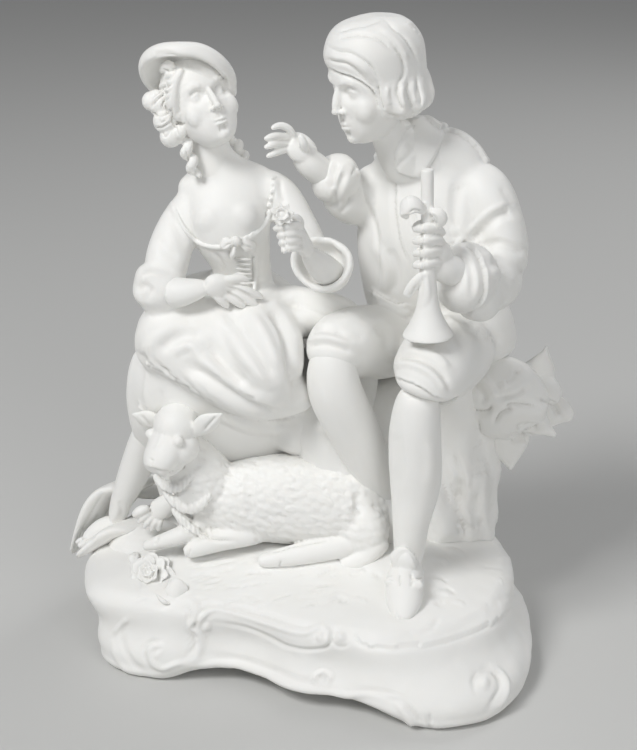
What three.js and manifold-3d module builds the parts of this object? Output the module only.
// A bisque porcelain group: a shepherdess and a shepherd seated on a rock, with a lamb, on a scrolled base.
import * as THREE from 'three';
import { mergeVertices } from 'three/addons/utils/BufferGeometryUtils.js';
import Module from 'manifold-3d';

const wasm = await Module();
wasm.setup();

// Driving dimensions, in millimetres. The front of the group faces -Y and the base stands on z = 0.
const archHeight = 4.5;
const rimHeight = 27;
const groundRise = 9;
const baseCentre = at(-4, 22, 0);
const scrollRadius = 1.5;
const smoothing = 0.8;
const standClear = 0.05;
const groupShift = at(7.49, -18.77, 0);

// How far the rim of the base reaches from its centre, every 15 degrees from the right end on.
const rimReach = [
  66, 64, 63, 62, 60, 57, 55, 55, 57, 61, 66, 71, 75, 78, 80.5, 79, 62, 51, 48, 51, 55, 63, 66, 68,
];

// How far the foot of the wall stands out beyond the rim, every 15 degrees from the right end on.
const wallFlare = [
  8, 6, 5, 4, 2, 0, 0, 0, 0, 0, 1, 0, 0, -6, -10, -1, 6, -1, 0, 3, 2, 9, 15, 12,
];

const sideways = at(1, 0, 0);
const upward = at(0, 0, 1);

function at(x, y, z) {
  return new THREE.Vector3(x, y, z);
}

function turnOf(degrees) {
  return THREE.MathUtils.degToRad(degrees);
}

// Makes a closed mesh geometry into a solid that can be joined and cut.
function solidOf(geometry) {
  const bare = geometry.clone();
  bare.deleteAttribute('normal');
  bare.deleteAttribute('uv');
  const merged = mergeVertices(bare, 1e-4);
  const mesh = new wasm.Mesh({
    numProp: 3,
    vertProperties: new Float32Array(merged.attributes.position.array),
    triVerts: new Uint32Array(merged.index.array),
  });
  return new wasm.Manifold(mesh);
}

// A soft closed form along a curve. At each of the places it has a half width along `across` and one
// at right angles to it, and fold(angle, t) swells or pinches the section.
class Form {
  constructor(places, sizes, { across = sideways, blunt = 0.5, fold = () => 1 } = {}) {
    this.path = new THREE.CatmullRomCurve3(places);
    this.spread = new THREE.SplineCurve(sizes.map(([a, b]) => new THREE.Vector2(a, b)));
    this.across = across;
    this.blunt = blunt;
    this.fold = fold;
  }

  // The point of the surface at an angle about the path and a share t of its length.
  point(angle, t, rounding = 1, lift = 0) {
    const centre = this.path.getPoint(t);
    const along = this.path.getTangent(t);
    const wide = this.across.clone().addScaledVector(along, -this.across.dot(along)).normalize();
    const deep = new THREE.Vector3().crossVectors(wide, along);
    const size = this.spread.getPoint(t);
    const swell = this.fold(angle, t) * rounding;
    centre.addScaledVector(wide, Math.cos(angle) * (size.x * swell + lift));
    return centre.addScaledVector(deep, Math.sin(angle) * (size.y * swell + lift));
  }

  // The whole form as a solid, with rounded ends, or with flat ends where flat is true.
  solid(sides = 8, rings = 5, flat = false) {
    const geometry = flat
      ? new THREE.CylinderGeometry(1, 1, 2, sides, rings)
      : new THREE.SphereGeometry(1, sides, rings);
    const position = geometry.attributes.position;
    for (let i = 0; i < position.count; i += 1) {
      const x = position.getX(i);
      const z = position.getZ(i);
      const radius = Math.hypot(x, z);
      const t = THREE.MathUtils.clamp((position.getY(i) + 1) / 2, 0, 1);
      const rounding = radius < 1e-6 ? 0 : (flat ? radius : radius ** this.blunt);
      const spot = this.point(radius < 1e-6 ? 0 : Math.atan2(z, x), t, rounding);
      position.setXYZ(i, spot.x, spot.y, spot.z);
    }
    return solidOf(geometry);
  }
}

function form(places, sizes, options = {}) {
  const { sides = 8, rings = 5, flat = false } = options;
  return new Form(places, sizes, options).solid(sides, rings, flat);
}

// A round bar along a curve that may thin towards its ends, such as a fold, a lock or a finger.
function strand(places, thickness, { ends = 0.5, flatness = 1, across, sides = 5, rings = 4 } = {}) {
  const sizes = places.map((spot, i) => {
    const t = i / (places.length - 1);
    const r = thickness * (ends + (1 - ends) * Math.sin(Math.PI * t));
    return [r, r * flatness];
  });
  return form(places, sizes, { across, sides, rings });
}

function ball(centre, x, y, z, sides = 6, rings = 4) {
  const geometry = new THREE.SphereGeometry(1, sides, rings);
  geometry.scale(x, y, z);
  geometry.translate(centre.x, centre.y, centre.z);
  return solidOf(geometry);
}

// A turned piece about an axis from `foot` in the direction `axis`; the profile is [radius, height].
function turned(profile, foot, axis, sides = 16) {
  const points = profile.map(([r, h]) => new THREE.Vector2(r, h));
  const geometry = new THREE.LatheGeometry(points, sides);
  geometry.applyQuaternion(new THREE.Quaternion().setFromUnitVectors(at(0, 1, 0), axis.clone().normalize()));
  geometry.translate(foot.x, foot.y, foot.z);
  return solidOf(geometry);
}

function joined(solids) {
  return solids.flat(3).reduce((whole, next) => whole.add(next));
}

// A place given in a head's own directions: to its left, forwards and up from its centre.
class Frame {
  constructor(centre, forward, up) {
    this.centre = centre;
    this.up = up.clone().normalize();
    this.forward = forward.clone().addScaledVector(this.up, -forward.dot(this.up)).normalize();
    this.left = new THREE.Vector3().crossVectors(this.up, this.forward);
  }

  spot(left, forward, up) {
    return this.centre.clone()
      .addScaledVector(this.left, left)
      .addScaledVector(this.forward, forward)
      .addScaledVector(this.up, up);
  }
}

// A smooth closed curve through values that are spread evenly round the base.
function roundBase(values, angle) {
  const count = values.length;
  const place = ((angle / (2 * Math.PI)) * count + count) % count;
  const i = Math.floor(place);
  const s = place - i;
  const [a, b, c, d] = [-1, 0, 1, 2].map((step) => values[(i + step + count) % count]);
  return b + 0.5 * s * (c - a + s * (2 * a - 5 * b + 4 * c - d + s * (3 * (b - c) + d - a)));
}

function rimAt(angle) {
  return roundBase(rimReach, angle);
}

// How far the wall of the base stands out from its rim at a height.
function flareAt(angle, height) {
  const t = THREE.MathUtils.clamp((rimHeight - height) / (rimHeight - archHeight), 0, 1);
  return roundBase(wallFlare, angle) * t * t * (3 - 2 * t) + 0.8 * Math.sin(Math.PI * 3 * t);
}

function wallPoint(degrees, height, lift = 0) {
  const angle = turnOf(degrees);
  const reach = rimAt(angle) + flareAt(angle, height) + lift;
  return at(baseCentre.x + reach * Math.cos(angle), baseCentre.y + reach * Math.sin(angle), height);
}

function baseBlock() {
  const wallSteps = 5;
  const profile = [[0, archHeight]];
  for (let i = 0; i <= wallSteps; i += 1) {
    profile.push([1, archHeight + ((rimHeight - archHeight) * i) / wallSteps]);
  }
  const groundInsets = [0.93, 0.65];
  for (const inset of groundInsets) {
    profile.push([inset, rimHeight + groundRise * (1 - inset) ** 0.55]);
  }
  profile.push([0, rimHeight + groundRise]);
  const geometry = new THREE.LatheGeometry(profile.map(([r, h]) => new THREE.Vector2(r, h)), 40);
  const position = geometry.attributes.position;
  for (let i = 0; i < position.count; i += 1) {
    const angle = Math.atan2(position.getZ(i), position.getX(i));
    const share = Math.hypot(position.getX(i), position.getZ(i));
    const height = position.getY(i);
    const reach = share * (rimAt(angle) + (share > 0.99 ? flareAt(angle, height) : 0));
    position.setXYZ(i, baseCentre.x + reach * Math.cos(angle), baseCentre.y + reach * Math.sin(angle), height);
  }
  geometry.index.array.reverse();
  return solidOf(geometry);
}

// A foot of the base: a low flat block, longer along the wall than across it.
function foot(degrees, halfLength, halfWidth, inset) {
  const along = at(-Math.sin(turnOf(degrees)), Math.cos(turnOf(degrees)), 0);
  const high = wallPoint(degrees, archHeight, -halfWidth - inset).setZ(archHeight + 6);
  const low = high.clone().setZ(0);
  return form(
    [low, low.clone().lerp(high, 0.5), high],
    [[halfLength * 0.8, halfWidth * 0.9], [halfLength, halfWidth], [halfLength, halfWidth]],
    { across: along, sides: 12, rings: 2, flat: true },
  );
}

// A raised moulding on the wall from one bearing to another, rolled up in a volute at its ends.
function scroll(from, to, heightFrom, heightTo, bow, curlFrom, curlTo) {
  const places = [];
  const steps = 6;
  const curlSteps = 5;
  const degreesPerMm = 1.1;
  const addCurl = (degrees, height, size, way) => {
    for (let i = 0; i <= curlSteps; i += 1) {
      const share = way > 0 ? i / curlSteps : 1 - i / curlSteps;
      const angle = -Math.PI * 1.5 * share;
      const r = size * (1 - 0.6 * share);
      const x = way * r * Math.sin(angle);
      places.push(wallPoint(degrees - x * degreesPerMm, height - size + r * Math.cos(angle)));
    }
  };
  if (curlFrom) {
    addCurl(from, heightFrom, curlFrom, -1);
  }
  for (let i = 0; i <= steps; i += 1) {
    const t = i / steps;
    const height = THREE.MathUtils.lerp(heightFrom, heightTo, t) + bow * Math.sin(Math.PI * t);
    places.push(wallPoint(from + (to - from) * t, height));
  }
  if (curlTo) {
    addCurl(to, heightTo, curlTo, 1);
  }
  return strand(places, scrollRadius, { ends: 0.6, sides: 4, rings: places.length + 1 });
}

// Three lobes that fan upwards on a foot.
function leafOnFoot(degrees, low, high) {
  const lean = 7;
  return [-lean, 0, lean].map((side) => strand([
    wallPoint(degrees, low, -0.6),
    wallPoint(degrees + side * 0.6, (low + high) / 2, 0.2),
    wallPoint(degrees + side, high - Math.abs(side) / 4, -0.4),
  ], 2.4, { ends: 0.4, flatness: 0.8 }));
}

function baseScrolls() {
  return [
    scroll(251, 292, 24, 23, -1.5, 3.5, 3.5),
    scroll(258, 286, 17, 16, -1, 0, 0),
    scroll(300, 353, 25, 26, -1, 0, 0),
    scroll(336, 347, 5, 17, 1, 0, 4.5),
    scroll(240, 246, 8, 25, 0, 4, 0),
    ball(wallPoint(297, 22), 2.5, 2.5, 2.5),
    leafOnFoot(318, 3, 15),
    leafOnFoot(232, 3, 14),
  ];
}

function rocks() {
  const craggy = (angle, t) => 1 + 0.06 * Math.sin(3 * angle + 5 * t) + 0.05 * Math.sin(5 * angle - 4 * t);
  const rock = (places, sizes) => form(places, sizes, { fold: craggy, sides: 12, rings: 6, blunt: 0.2 });
  return [
    rock([at(24, 54, 24), at(25, 56, 56), at(24, 58, 86)], [[26, 22], [20, 17], [22, 18]]),
    rock([at(-34, 38, 24), at(-36, 38, 66), at(-36, 36, 100)], [[34, 26], [24, 18], [20, 14]]),
    rock([at(-6, 48, 24), at(-6, 46, 54), at(-6, 42, 86)], [[50, 25], [40, 22], [26, 16]]),
    rock([at(4, 23, 26), at(2, 20, 56), at(-4, 16, 88)], [[17, 15], [14, 12], [12, 11]]),
    form(
      [at(-44, -10, 31), at(-20, 0, 33), at(6, 8, 34), at(26, 16, 33)],
      [[12, 6], [15, 8], [15, 8], [10, 6]],
      { across: at(-0.4, 0.9, 0), sides: 10, rings: 6 },
    ),
  ];
}

// Broad leaves of a plant at the back left of the base.
function plant() {
  const leaf = (root, middle, tip, width) => form(
    [root, middle, tip],
    [[width * 0.6, 3], [width, 2.6], [width * 0.6, 1.6]],
    { across: at(0.3, 0.9, 0), sides: 6, blunt: 0.7 },
  );
  return [
    leaf(at(-64, 14, 46), at(-78, 5, 42), at(-89.4, -4, 20), 8),
    leaf(at(-60, 24, 38), at(-77, 18, 38), at(-86, 12, 22), 10),
    leaf(at(-58, 8, 34), at(-70, -4, 33), at(-80, -15, 26), 7),
  ];
}

function rose() {
  const heart = at(-43, -22, 31.5);
  const petals = 5;
  const parts = [ball(heart, 3, 3, 3.4)];
  for (let i = 0; i < petals; i += 1) {
    const angle = (i / petals) * 2 * Math.PI;
    parts.push(ball(heart.clone().add(at(3.6 * Math.cos(angle), 3.6 * Math.sin(angle), -1)), 2.8, 2.8, 1.8));
  }
  parts.push(ball(at(-50.5, -23, 31), 2.2, 2.2, 3));
  parts.push(form(
    [at(-39, -24, 29), at(-33, -26, 31), at(-28, -25.5, 30)],
    [[2.4, 1.4], [4, 1.4], [1, 1]],
    { across: at(0.2, 1, 0), sides: 5, rings: 4 },
  ));
  return parts;
}

function lamb() {
  const woolly = (angle, t) => 1 + 0.03 * Math.sin(5 * angle) * Math.sin(20 * t);
  const body = form(
    [at(-40, -6, 49), at(-24, 2, 51), at(-8, 8, 52), at(8, 14, 50), at(21, 18, 44)],
    [[9, 12], [12, 14.5], [12.5, 15], [12.5, 14.5], [8, 11]],
    { across: at(-0.4, 0.9, 0), fold: woolly, sides: 14, rings: 9 },
  );
  const neck = form([at(-34, -1, 48), at(-38, -6, 62), at(-40, -7, 78)], [[12, 12], [9.5, 9], [7, 6]]);
  const face = new Frame(at(-40, -7.5, 76), at(0.02, -0.93, -0.37), at(0.05, -0.37, 0.93));
  const head = [
    ball(face.spot(0, -0.5, 1.5), 7.6, 7.4, 7.2, 10, 6),
    form(
      [face.spot(0, 0, 0.5), face.spot(0, 7, -1), face.spot(0, 12.5, -3.4)],
      [[6.6, 6.8], [5.6, 5.6], [4, 4]],
      { across: face.left, sides: 10, rings: 5 },
    ),
  ];
  const ear = (root, tip) => form(
    [root, root.clone().lerp(tip, 0.5), tip],
    [[1.8, 2], [1.5, 3], [1, 0.9]],
    { sides: 5, rings: 4 },
  );
  const leg = (...places) => strand(places, 4, { ends: 0.75, sides: 6 });
  return [
    body, neck, head,
    ear(at(-46, -9, 78), at(-55, -13.5, 83.5)),
    ear(at(-35, -6, 79), at(-26.5, -5, 85)),
    leg(at(-34, -6, 44), at(-40, -14, 42), at(-51, -18, 37)),
    leg(at(-14, -2, 42), at(-28, -10, 40), at(-39, -17, 35)),
    leg(at(14, 8, 42), at(4, 1, 38), at(-11, -7, 33)),
    leg(at(23, 12, 42), at(16, 5, 36), at(10, 2, 34)),
    ball(at(14, 11, 44), 10, 8, 11, 8, 5),
    strand([at(18, 18, 56), at(22, 19, 46), at(22, 17, 35)], 3.4, { ends: 0.8 }),
  ];
}

// A hand with four fingers and a thumb. `reach` points from the wrist to the fingers, `side` from the
// little finger to the thumb, and curl bends the fingers towards the palm.
function hand({ wrist, reach, side, length, curl, spread, thumb }) {
  const forward = reach.clone().normalize();
  const towardsThumb = side.clone().addScaledVector(forward, -side.dot(forward)).normalize();
  const inward = new THREE.Vector3().crossVectors(forward, towardsThumb);
  const place = (f, s, p) => wrist.clone()
    .addScaledVector(forward, f * length)
    .addScaledVector(towardsThumb, s * length)
    .addScaledVector(inward, p * length);
  const parts = [form(
    [place(-0.15, 0, 0), place(0.2, 0, 0), place(0.55, 0, 0)],
    [[length * 0.15, length * 0.12], [length * 0.23, length * 0.12], [length * 0.24, length * 0.09]],
    { across: towardsThumb, sides: 6, rings: 4, blunt: 0.3 },
  )];
  const knuckles = 0.48;
  const rooted = 0.36;
  [0.82, 0.95, 1, 0.93].forEach((far, i) => {
    const row = (i - 1.5) * 0.115;
    const wide = row * (1 + 3 * spread);
    const half = (far - knuckles) * 0.52;
    const middle = [knuckles + half * Math.cos(curl * 0.5), wide, half * Math.sin(curl * 0.5)];
    const tip = [middle[0] + half * Math.cos(curl * 1.6), wide, middle[2] + half * Math.sin(curl * 1.6)];
    parts.push(strand([place(rooted, row, 0), place(...middle), place(...tip)], length * 0.085, { ends: 0.85, rings: 3 }));
  });
  parts.push(strand([place(0.05, 0.1, 0.02), place(0.25, 0.27, 0.1), place(...thumb)], length * 0.085, { ends: 0.8 }));
  return parts;
}

// Folds that run along a form's surface between two shares of its length, drifting round it.
function foldsOn(shape, angles, from, to, thickness, drift = 0) {
  return angles.map((degrees) => {
    const places = [0, 0.5, 1].map((s) => {
      const t = from + (to - from) * s;
      return shape.point(turnOf(degrees + drift * s), t, 1, -thickness * 0.3);
    });
    return strand(places, thickness, { ends: 0.3, sides: 4 });
  });
}

const shepherdessSide = at(0.91, 0.41, 0);
const shepherdessHead = new Frame(at(-38.8, 10.1, 181), at(0.711, -0.564, 0.415), at(-0.441, 0.103, 0.892));

function shepherdessBody() {
  const torso = form(
    [at(-36, 26, 106), at(-30, 17, 126), at(-31.5, 12, 142), at(-33, 14, 154), at(-35.5, 14, 165)],
    [[14, 12], [9.6, 9], [13, 10.5], [13, 7.5], [5.4, 5.2]],
    { across: shepherdessSide, sides: 12, rings: 7, blunt: 0.25 },
  );
  const neck = form(
    [at(-34, 14.6, 150), at(-37.6, 12.8, 162), at(-39.6, 11.4, 176)],
    [[9, 7], [6.8, 5.8], [5.8, 5.6]],
    { across: shepherdessSide, rings: 4, blunt: 0.2 },
  );
  const shoulders = form(
    [at(-48.6, 9, 151.4), at(-39.5, 13, 155), at(-30, 17, 156.4), at(-20.4, 21, 155.4)],
    [[5.4, 5.4], [6.5, 6], [6.5, 6], [5.2, 5.2]],
    { across: upward },
  );
  const frill = strand(
    [at(-47, 7, 153), at(-42, 1, 144), at(-34, -1, 138), at(-26, 0, 138), at(-18, 9, 147), at(-19, 16, 156)],
    1.8,
    { ends: 0.8, rings: 9 },
  );
  return [
    torso, neck, shoulders, frill,
    ball(at(-28.4, -2.6, 138.6), 3.2, 1.6, 2),
    ball(at(-22.6, 0, 139.4), 3.2, 1.6, 2),
    ball(at(-35, 5, 145), 6.5, 5.5, 6.5),
    ball(at(-26, 9, 145.5), 6.5, 5.5, 6.5),
  ];
}

function shepherdessHeadAndHat() {
  const head = shepherdessHead;
  const skull = form(
    [head.spot(0, -2, 13), head.spot(0, 0, 5), head.spot(0, 1.5, -5), head.spot(0, 4, -13.6)],
    [[7, 8], [9.8, 11.2], [8.8, 9.4], [5, 5.6]],
    { across: head.left, sides: 10, rings: 7, blunt: 0.35 },
  );
  const nose = strand([head.spot(0, 9.8, 4), head.spot(0, 11.6, -1), head.spot(0, 10, -3.5)], 1.7, { ends: 0.8 });
  const curls = [
    ball(at(-50.2, 2.8, 180.7), 4.2, 4.2, 4.2),
    ball(at(-48, 1.6, 175.6), 4, 4, 4),
    ball(at(-46.5, 2.3, 170.9), 3.8, 3.8, 3.8),
  ];
  const backHair = form(
    [head.spot(1, -6, 10), head.spot(1, -8, 0), head.spot(1, -8, -12)],
    [[9, 7], [11, 7], [8, 5]],
    { across: head.left },
  );
  const locks = [
    strand([at(-42.8, 3.9, 171.6), at(-41.8, 4.4, 166.9), at(-40.8, 4.8, 162.5), at(-39.2, 5.5, 157.7)], 3.2, { ends: 0.8 }),
    strand([at(-34.6, 20.7, 165.9), at(-32, 21.9, 162.3), at(-29.6, 21.9, 158.7)], 2.8, { ends: 0.7 }),
  ];
  const hat = turned(
    [[0, -0.5], [10, -0.8], [12.6, -2.6], [14.8, -2], [15.4, 0.4], [14.2, 2.4], [10.5, 3.2], [5, 4], [0, 4.2]],
    at(-44.2, 9.9, 188.3),
    at(-0.127, 0.728, 0.668),
    18,
  );
  return [skull, nose, curls, backHair, locks, hat];
}

function cuffFolds(angle, t) {
  return 1 + 0.08 * Math.sin(5 * angle + 3 * t);
}

function shepherdessArms() {
  return [
    form(
      [at(-39, 13.5, 153.5), at(-44.4, 10, 147), at(-47.6, 1, 134.5), at(-46, -6.5, 124.5)],
      [[5.8, 6], [6.4, 6.2], [7.2, 6.8], [8.4, 8]],
    ),
    form(
      [at(-53, -3, 124), at(-47.5, -6, 124.5), at(-40, -9, 125)],
      [[8.4, 8], [9.6, 9], [6.8, 6.8]],
      { across: upward, sides: 10, fold: cuffFolds },
    ),
    form([at(-47, -7, 124.5), at(-40.7, -8.3, 123.7), at(-31.6, -5.3, 126.3)], [[5, 5.5], [4.5, 4.5], [3, 2.9]], { rings: 4 }),
    hand({
      wrist: at(-32.4, -5.7, 126.6),
      reach: at(0.93, 0.3, -0.25),
      side: at(0.2, -0.5, 0.8),
      length: 16,
      curl: 0.35,
      spread: 0.1,
      thumb: [0.5, 0.22, 0.14],
    }),
    form(
      [at(-24.8, 18.5, 156.9), at(-18.1, 20.4, 151.1), at(-10.8, 18.2, 142.3), at(-3.2, 15, 133.9)],
      [[5.4, 5.6], [5.9, 6], [6.2, 6.2], [7, 7]],
    ),
    form(
      [at(0.3, 16.5, 130.3), at(1.4, 9.4, 133.1), at(1.3, 2.8, 135.8)],
      [[6.6, 6.6], [8.6, 8.6], [7.6, 7.6]],
      { across: upward, sides: 10, fold: cuffFolds },
    ),
    form([at(3.2, 14.6, 129.9), at(3.5, 3.8, 134.9), at(2.3, -4.5, 142)], [[4.8, 4.8], [4.3, 4.3], [3, 2.8]], { rings: 4 }),
    hand({
      wrist: at(2.2, -5.8, 143.5),
      reach: at(-0.35, -0.72, 0.62),
      side: at(-0.55, 0.3, 0.75),
      length: 14,
      curl: 1.2,
      spread: 0,
      thumb: [0.5, 0.2, 0.16],
    }),
    ball(at(-0.5, -15, 155), 3.6, 2, 3.6, 8, 4),
    strand([at(-0.5, -14.6, 156), at(0, -12.5, 151), at(1.5, -9, 146)], 1.3),
  ];
}

function shepherdessSkirt() {
  const pleats = (depth, count) => (angle, t) => 1 + depth * Math.sin(count * angle + 2 * t) * t;
  const rightThigh = new Form(
    [at(-35, 32, 110), at(-41.4, 12, 112), at(-45.4, -6, 106), at(-46, -13, 98)],
    [[15, 14], [14, 13], [12.6, 12], [9, 8]],
  );
  const leftThigh = new Form(
    [at(-31, 30, 109), at(-21, 9, 109), at(-12, -4, 102), at(-10, -10, 93)],
    [[15, 13], [14, 13], [12.5, 12], [8, 8]],
  );
  const fall = new Form(
    [at(-32, 10, 106), at(-34, 6, 92), at(-35, 11, 76), at(-35, 17, 60)],
    [[24, 14], [30.4, 14], [33, 13], [31.8, 12]],
    { across: shepherdessSide, fold: pleats(0.06, 7), blunt: 0.16 },
  );
  const back = form(
    [at(-34, 30, 116), at(-40, 44, 97), at(-42, 50, 60)],
    [[18, 12], [26, 14], [31, 16]],
    { fold: pleats(0.06, 5), sides: 14, rings: 6, blunt: 0.25 },
  );
  const seatCloth = form(
    [at(-22, 30, 109), at(-10.1, 19.6, 113.3), at(0.2, 26.4, 108.3), at(4, 28, 92), at(3, 26, 64)],
    [[12, 12], [10, 8.5], [9, 8.5], [10, 8], [8, 7]],
  );
  const apron = form(
    [at(-46, 0, 102), at(-30, -4, 100), at(-14, -1, 94), at(0, 8, 90)],
    [[9, 11], [11, 13], [11, 12], [7, 8]],
    { across: upward, sides: 8, rings: 6 },
  );
  const apronEdge = strand(
    [at(-50, -8, 102), at(-38, -16, 100), at(-24, -16, 94), at(-9, -11, 87), at(2, 2, 86)],
    3.2,
    { ends: 0.5, flatness: 0.8, rings: 8 },
  );
  return [
    rightThigh.solid(10, 6),
    leftThigh.solid(10, 6),
    fall.solid(28, 7),
    back, seatCloth, apron, apronEdge,
    foldsOn(fall, [225, 250, 275, 300], 0.25, 0.95, 2.2, 8),
    foldsOn(leftThigh, [60, 100], 0.15, 0.8, 1.9, 20),
  ];
}

function shepherdessFeet() {
  return [
    form([at(-57, 2, 72), at(-64, 1, 56), at(-70, 0, 42), at(-72, 0, 34)], [[6.5, 7], [5.6, 6], [4, 4.2], [4, 4.5]]),
    form(
      [at(-70, 4, 32), at(-75, -2, 32), at(-80, -9, 28.5)],
      [[4, 4], [4, 4], [3.6, 2.2]],
      { across: at(0.85, 0.5, 0), rings: 4 },
    ),
    form([at(-52, 6, 70), at(-53, 5, 56), at(-53, 5, 42)], [[6, 6], [5.4, 5.4], [4.2, 4.6]], { rings: 4 }),
    form(
      [at(-51, 8, 39), at(-55, 0, 39), at(-61, -8, 36)],
      [[4, 4.6], [4.2, 4], [4, 2.4]],
      { across: at(0.85, -0.5, 0), rings: 4 },
    ),
    ball(at(-60, 0, 27), 14, 14, 9, 8, 5),
  ];
}

const shepherdHead = new Frame(at(8.4, 30, 187), at(-0.588, -0.809, -0.21), at(-0.122, -0.168, 0.978));

function shepherdHeadAndHair() {
  const head = shepherdHead;
  const skull = form(
    [head.spot(0, -2, 15), head.spot(0, -0.5, 6), head.spot(0, 2, -7), head.spot(0, 6.2, -17.4)],
    [[9, 10], [11.5, 13], [10.4, 11.4], [6.8, 7.4]],
    { across: head.left, sides: 10, rings: 7, blunt: 0.35 },
  );
  const nose = strand([head.spot(0, 11, 2), head.spot(0, 13.8, -3.6), head.spot(0, 11.4, -6)], 2, { ends: 0.8 });
  const cap = form(
    [head.spot(0.4, -2.6, 19.2), head.spot(0.6, -3.4, 12), head.spot(0, -4, 4.5), head.spot(0, -6, -6)],
    [[7, 8.4], [12, 13.4], [13.4, 13.4], [12, 12]],
    { across: head.left, sides: 12, rings: 6, fold: (angle, t) => 1 + 0.04 * Math.sin(6 * angle + 4 * t) },
  );
  const waves = [-60, -20, 20, 60].map((degrees) => {
    const turn = turnOf(degrees);
    const brow = head.spot(12.5 * Math.sin(turn), 1 + 12.5 * Math.cos(turn), 9);
    return strand([head.spot(6 * Math.sin(turn), 0, 18.5), brow, head.spot(13.5 * Math.sin(turn), 7 * Math.cos(turn), 4)], 2.6);
  });
  const rolls = [];
  const rollCount = 7;
  for (let i = 0; i < rollCount; i += 1) {
    const turn = turnOf(75 + (210 * i) / (rollCount - 1));
    const low = head.spot(11.5 * Math.sin(turn), -5.4 + 10.6 * Math.cos(turn), -14 + 2 * Math.sin(turn) ** 2);
    const high = head.spot(12 * Math.sin(turn), -4.5 + 11.2 * Math.cos(turn), 1);
    rolls.push(strand([high, low], 4.2, { ends: 0.9 }));
  }
  return [skull, nose, cap, waves, rolls];
}

const shepherdSide = at(0.98, -0.11, 0.12);

function shepherdBody() {
  const torso = new Form(
    [at(21, 60, 90), at(18, 53, 110), at(19, 48, 132), at(20, 49, 152), at(18, 46, 166)],
    [[20, 15], [19.6, 13], [21.8, 14], [19, 12], [8, 7]],
    { across: shepherdSide, blunt: 0.25 },
  );
  const coatTail = new Form(
    [at(24, 57, 124), at(30, 61, 106), at(37, 65, 88)],
    [[15, 11], [17, 11], [17, 10]],
    { across: shepherdSide, blunt: 0.3, fold: (angle, t) => 1 + 0.06 * Math.sin(6 * angle) * t },
  );
  return [
    torso.solid(14, 8),
    form([at(4, 50, 151), at(13, 49, 159), at(26, 50, 161.6), at(38, 52, 157.4)], [[7, 8], [9, 8.5], [9, 8.5], [7, 8]]),
    form([at(17, 44, 155), at(13.5, 39, 166), at(11, 34, 176)], [[8, 8], [6.2, 6.2], [6, 6]], { rings: 4 }),
    form(
      [at(9, 31, 164), at(18, 29, 160), at(26.5, 41, 164.4), at(22.5, 53, 168), at(11, 54, 168)],
      [[5, 2], [6.5, 2.2], [7, 2.2], [6, 2.2], [3.5, 1.8]],
      { across: at(0.5, -0.2, -0.6), sides: 6, rings: 8 },
    ),
    strand([at(2, 40, 164), at(3.5, 34, 158), at(7, 33, 152)], 2.6),
    strand([at(19, 31, 158), at(22, 33, 144), at(24, 37, 130)], 1.8, { ends: 0.7 }),
    strand([at(5, 42, 118), at(12, 38, 113), at(20, 39, 111)], 2.6, { ends: 0.6 }),
    foldsOn(torso, [228, 250], 0.3, 0.8, 1.6, 6),
    coatTail.solid(14, 5),
    foldsOn(coatTail, [-40, -12], 0.25, 0.9, 2, 14),
  ];
}

function shepherdArms() {
  return [
    form(
      [at(33, 51, 158), at(39.6, 51, 151), at(46.5, 50, 138), at(50.8, 46, 124.6)],
      [[7.5, 8], [8.8, 9], [8, 9.5], [8.8, 9]],
      { rings: 5 },
    ),
    form([at(50, 48, 126), at(48, 34, 126), at(43, 21, 131)], [[8.5, 8], [9, 8.5], [9, 8.5]], { across: upward }),
    form(
      [at(47, 29, 127), at(44, 22, 131), at(41, 15, 134)],
      [[9, 8.5], [11, 10], [9.5, 8]],
      { across: upward, sides: 12, fold: cuffFolds },
    ),
    strand([at(48, 28, 124), at(44, 20, 121), at(42, 16, 120)], 4, { ends: 0.6 }),
    form([at(43, 19, 133), at(37, 7.5, 139)], [[4.8, 4.8], [4.6, 4.6]], { rings: 4, sides: 6 }),
    hand({
      wrist: at(41, 11, 137.5),
      reach: at(-0.75, -0.66, 0.12),
      side: at(0.1, -0.1, 0.98),
      length: 17,
      curl: 2.1,
      spread: 0,
      thumb: [0.52, 0.24, 0.2],
    }),
    form([at(6, 50, 155), at(2, 48, 148), at(0, 45, 142)], [[7.5, 7.5], [7.6, 7.6], [7, 7]]),
    form([at(1, 45, 141), at(-3, 39, 147), at(-6.5, 34, 153)], [[6.8, 6.8], [7.4, 7.4], [7, 7]]),
    form(
      [at(-2.5, 39, 150), at(-5.6, 34, 155), at(-8.8, 30.5, 158.6)],
      [[8, 7.5], [8.6, 8.4], [7, 6.5]],
      { sides: 12, fold: cuffFolds },
    ),
    form([at(-8, 32, 156), at(-13, 26, 164)], [[4.6, 4.6], [3.4, 3.2]], { rings: 4, sides: 6 }),
    hand({
      wrist: at(-11.5, 27.5, 161.5),
      reach: at(-0.62, -0.62, 0.48),
      side: at(-0.1, -0.3, 0.9),
      length: 16,
      curl: 0.15,
      spread: 0.25,
      thumb: [0.62, 0.42, 0.1],
    }),
  ];
}

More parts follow.
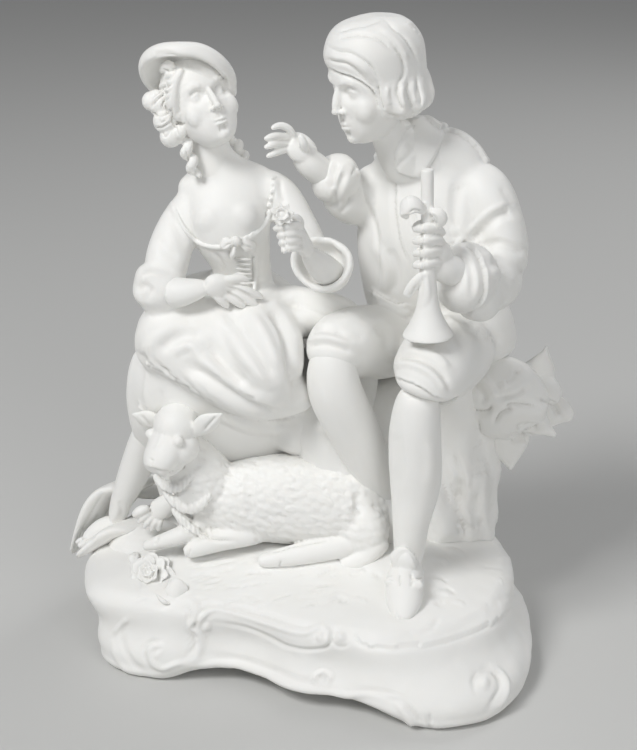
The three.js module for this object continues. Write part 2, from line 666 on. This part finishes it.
function shepherdLegs() {
  const kneeBands = (angle, t) => 1 + 0.12 * Math.sin(30 * t) * Math.max(0, t - 0.6);
  const leftThigh = new Form(
    [at(30, 62, 94), at(34, 40, 99), at(37, 18, 103), at(38, 7, 101.5), at(36.5, 5, 94)],
    [[15, 14], [14, 13.5], [13, 13], [12, 12], [10.5, 10.5]],
    { fold: kneeBands, blunt: 0.3 },
  );
  const rightThigh = new Form(
    [at(12, 60, 94), at(10, 38, 100), at(8, 18, 106), at(7, 8, 107)],
    [[15, 14], [13, 13], [11, 11.5], [9.5, 9.5]],
    { fold: kneeBands, blunt: 0.3 },
  );
  return [
    leftThigh.solid(12, 10),
    rightThigh.solid(10, 8),
    form(
      [at(36, 4, 100), at(34.6, 6, 84), at(34.4, 8, 66), at(33.5, 7, 50), at(33, 7, 34)],
      [[8, 8], [7.8, 7.8], [7.8, 8], [6, 6.3], [6, 6.5]],
      { sides: 10, rings: 6 },
    ),
    form(
      [at(7, 4, 110), at(8, 4, 96), at(13, 12, 76), at(17.5, 22, 52), at(19, 26, 32)],
      [[7.6, 7.6], [7.6, 8], [7.8, 8], [6.2, 6.4], [5.6, 6]],
      { sides: 10, rings: 6 },
    ),
    form(
      [at(33, 12, 33), at(34, 2, 35), at(37, -7, 32), at(39, -14, 29)],
      [[5.5, 5], [6.2, 6.5], [6, 5], [4.6, 2.8]],
      { sides: 10, rings: 6 },
    ),
    ball(at(36, -5.5, 37), 2, 1.8, 2),
    ball(at(32.2, -5.5, 36.6), 3.2, 1.8, 2.2),
    ball(at(40, -4, 37), 3.2, 1.8, 2.2),
    form([at(34, 1, 38), at(34, -0.5, 43), at(34, -0.4, 47)], [[4.4, 2.4], [4.4, 2], [3, 1.4]], { rings: 4, sides: 6 }),
    form([at(19, 31, 34), at(19, 22, 34), at(20, 14, 33)], [[5, 4], [5.4, 5], [4, 3]], { rings: 4 }),
    foldsOn(leftThigh, [60, 100, 140], 0.1, 0.6, 1.8, 10),
    foldsOn(rightThigh, [70, 110], 0.1, 0.7, 1.6, 10),
  ];
}

function pipe() {
  const mouth = at(36.5, 5.3, 168);
  const bell = at(37.8, 6.4, 116.5);
  const down = bell.clone().sub(mouth);
  const length = down.length();
  const profile = [
    [0, 0], [1.8, 0.4], [1.8, 12], [2.2, 30], [3, length - 14], [4.8, length - 6], [7.6, length - 1],
    [7.4, length], [3, length - 6], [0, length - 8],
  ];
  return [
    turned(profile, mouth, down, 10),
    strand([at(37, 5, 155), at(32.6, 3, 157), at(31.6, 3, 153), at(37, 5, 149)], 2, { ends: 0.9 }),
    strand([at(36.6, 5.4, 154.5), at(40.5, 4.5, 151.4), at(36.6, 5.4, 147)], 1.6, { ends: 0.9 }),
    strand([at(37, 5, 139), at(35.6, 1.5, 130), at(36.6, 2.6, 120)], 1.8),
    strand([at(37, 5.6, 139), at(32.6, 3, 132), at(31, 3, 126)], 1.5),
  ];
}

// The tied cloth that hangs beside the shepherd, with its four corners standing out from the knot.
function bundle() {
  const pinched = (angle, t) => 1 + 0.07 * Math.sin(5 * angle + 3 * t);
  const corner = (root, tip, width, thick) => form(
    [root, root.clone().lerp(tip, 0.55), tip],
    [[width, thick], [width * 0.85, thick], [width * 0.2, thick * 0.5]],
    { across: at(0.5, 0.6, 0.4), sides: 6, rings: 4 },
  );
  return [
    form(
      [at(28, 56, 72), at(40, 59, 77), at(52, 60, 78), at(62, 61, 76)],
      [[9, 10], [13.5, 12], [13.5, 12], [7, 7]],
      { across: upward, sides: 12, rings: 7, fold: pinched },
    ),
    corner(at(54, 62, 82), at(58.2, 71.9, 95.2), 6, 4),
    corner(at(57, 62, 80), at(62.4, 72.6, 81), 6, 3.5),
    corner(at(58, 60, 75), at(68.3, 77.5, 66.7), 7.5, 4),
    corner(at(57, 58, 72), at(63.8, 70, 62.5), 6.5, 4),
    corner(at(50, 57, 70), at(49.9, 63.8, 49.2), 9, 5),
  ];
}

const whole = joined([
  baseBlock(),
  foot(232, 13, 8, 0.4), foot(332, 25, 9, -0.4), foot(45, 15, 9, 2), foot(150, 15, 9, 2),
  baseScrolls(),
  rocks(),
  plant(),
  rose(),
  lamb(),
  shepherdessBody(),
  shepherdessHeadAndHat(),
  shepherdessArms(),
  shepherdessSkirt(),
  shepherdessFeet(),
  shepherdHeadAndHair(),
  shepherdBody(),
  shepherdArms(),
  shepherdLegs(),
  pipe(),
  bundle(),
]).asOriginal().simplify(smoothing).translate(groupShift.toArray());
const [figures] = whole.decompose().sort((a, b) => b.volume() - a.volume());

// Draws points that share one place a little towards their own neighbours, so that no two folds touch.
function drawApart(position, index) {
  const spotOf = (i) => new THREE.Vector3().fromArray(position, i * 3);
  const sharers = new Map();
  for (let i = 0; i < position.length / 3; i += 1) {
    const key = spotOf(i).toArray().map((value) => value.toFixed(3)).join();
    sharers.set(key, [...(sharers.get(key) ?? []), i]);
  }
  const touching = [...sharers.values()].filter((list) => list.length > 1).flat();
  const inward = new Map(touching.map((i) => [i, new THREE.Vector3()]));
  for (let i = 0; i < index.length; i += 3) {
    const corners = index.slice(i, i + 3);
    for (const corner of corners) {
      for (const other of corners) {
        inward.get(corner)?.add(spotOf(other)).sub(spotOf(corner));
      }
    }
  }
  for (const [i, way] of inward) {
    spotOf(i).add(way.setLength(standClear)).toArray(position, i * 3);
  }
}

function meshOf(solid, name, material) {
  const { vertProperties, triVerts, numProp } = solid.getMesh();
  const position = new Float32Array((vertProperties.length / numProp) * 3);
  for (let i = 0; i < position.length / 3; i += 1) {
    position.set(vertProperties.subarray(i * numProp, i * numProp + 3), i * 3);
  }
  drawApart(position, triVerts);
  const geometry = new THREE.BufferGeometry();
  geometry.setAttribute('position', new THREE.BufferAttribute(position, 3));
  geometry.setIndex(new THREE.BufferAttribute(new Uint32Array(triVerts), 1));
  geometry.computeVertexNormals();
  const mesh = new THREE.Mesh(geometry, material);
  mesh.name = name;
  return mesh;
}

const bisquePorcelain = new THREE.MeshStandardMaterial({ color: 0xeceae4, roughness: 0.72, metalness: 0 });
const group = new THREE.Group();
group.add(meshOf(figures, 'figure_group', bisquePorcelain));

export default group;
